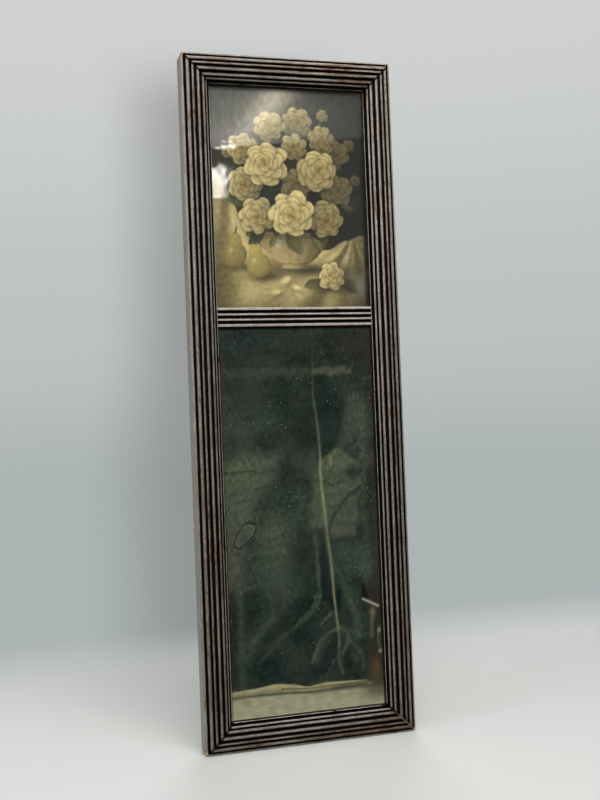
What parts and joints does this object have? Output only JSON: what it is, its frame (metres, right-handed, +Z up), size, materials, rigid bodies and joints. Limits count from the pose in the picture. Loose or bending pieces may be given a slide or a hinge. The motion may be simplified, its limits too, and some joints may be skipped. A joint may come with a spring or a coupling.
{
  "type": "wall mirror",
  "caption": "Tall narrow wall mirror in a reeded wooden frame, with a glazed print above a reeded crossbar and a mirror plate below.",
  "frame": {"origin": "middle of the flat bottom edge, half-way through the depth of the moulding", "axes": "+Z up the frame, -Y out of the front towards the viewer, +X to the right as seen from the front"},
  "size_m": [0.1694, 0.0243, 0.536],
  "materials": {
    "painted_wood": "worn satin paint, silver grey over red-brown ground",
    "board_wood": "bare, aged",
    "clear_glass": "polished",
    "silvered_glass": "polished, aged silvering",
    "print_paper": "matte",
    "card": "matte",
    "packing_paper": "matte",
    "nail_steel": "dull",
    "hanger_brass": "tarnished",
    "screw_brass": "tarnished"
  },
  "bodies": {
    "mirror_frame": {"stile_left": "painted_wood", "stile_right": "painted_wood", "rail_top": "painted_wood", "rail_bottom": "painted_wood", "crossbar": "painted_wood", "picture_glass": "clear_glass", "picture_print": "print_paper", "picture_card": "card", "picture_backing_board": "board_wood", "mirror_plate": "silvered_glass", "mirror_packing_paper": "packing_paper", "mirror_backing_board": "board_wood", "picture_brads": "nail_steel", "mirror_brads": "nail_steel", "crossbar_nails": "nail_steel", "corner_nails_top_left": "nail_steel", "corner_nails_top_right": "nail_steel", "corner_nails_bottom_left": "nail_steel", "corner_nails_bottom_right": "nail_steel", "hanger_plate": "hanger_brass", "hanger_screws": "screw_brass"},
    "ring": {"hanger_ring": "hanger_brass"}
  },
  "joints": [
    {"name": "ring_hinge", "type": "hinge", "parent": "mirror_frame", "child": "ring", "pos_m": [0, 0.01218, 0.528], "axis": [1, 0, 0], "range_deg": [0, 180]}
  ]
}
